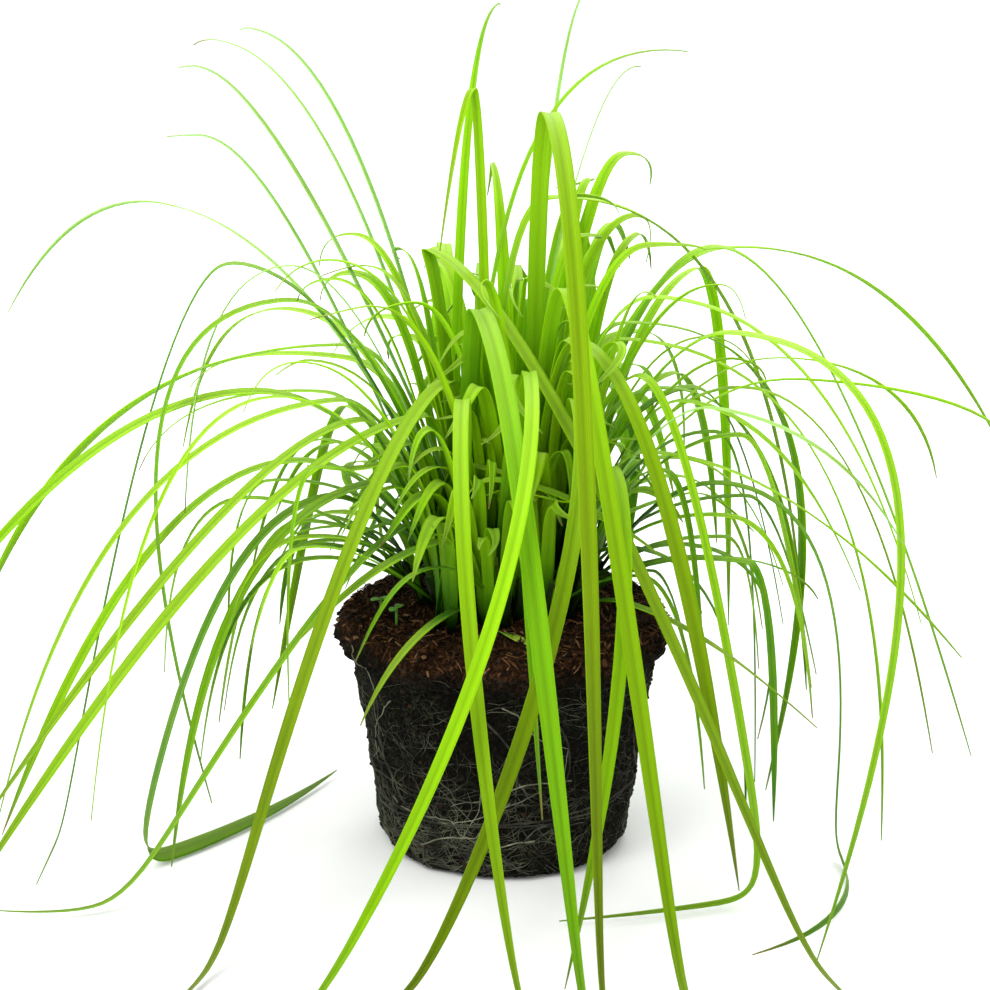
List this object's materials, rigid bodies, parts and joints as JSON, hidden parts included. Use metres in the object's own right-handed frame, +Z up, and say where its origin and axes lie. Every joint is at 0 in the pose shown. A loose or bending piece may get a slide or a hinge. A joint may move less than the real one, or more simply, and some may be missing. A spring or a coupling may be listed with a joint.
{
  "type": "carex sedge with bare root ball",
  "caption": "Evergreen carex sedge lifted from its pot: a fountain of narrow arching leaves on a tapered root ball of bark compost, netted with pale roots.",
  "frame": {"origin": "centre of the root ball's flat base, on the surface it stands on", "axes": "+Z up along the root ball's axis; +Y away from the viewer of the picture; +X to the viewer's right"},
  "size_m": [0.4869, 0.397, 0.36],
  "materials": {
    "leaf": "soft satin, finely veined along its length",
    "soil": "crumbly, matt",
    "root": "dry, matt"
  },
  "bodies": {
    "root": {"root_ball": "soil", "surface_roots": "root", "seedling_1": "leaf", "seedling_2": "leaf", "shoot_01": "leaf", "shoot_02": "leaf", "shoot_03": "leaf", "shoot_04": "leaf", "shoot_05": "leaf", "shoot_06": "leaf", "shoot_07": "leaf", "shoot_08": "leaf", "shoot_09": "leaf", "shoot_10": "leaf", "shoot_11": "leaf", "shoot_12": "leaf", "shoot_13": "leaf", "shoot_14": "leaf", "shoot_15": "leaf", "shoot_16": "leaf", "shoot_17": "leaf", "shoot_18": "leaf", "shoot_19": "leaf", "shoot_20": "leaf", "shoot_21": "leaf", "shoot_22": "leaf", "shoot_23": "leaf", "shoot_24": "leaf", "shoot_25": "leaf", "shoot_26": "leaf", "shoot_27": "leaf", "shoot_28": "leaf", "shoot_29": "leaf", "shoot_30": "leaf", "shoot_31": "leaf", "shoot_32": "leaf", "shoot_33": "leaf", "shoot_34": "leaf", "shoot_35": "leaf", "shoot_36": "leaf", "shoot_37": "leaf", "shoot_38": "leaf", "shoot_39": "leaf", "shoot_40": "leaf"}
  },
  "joints": []
}
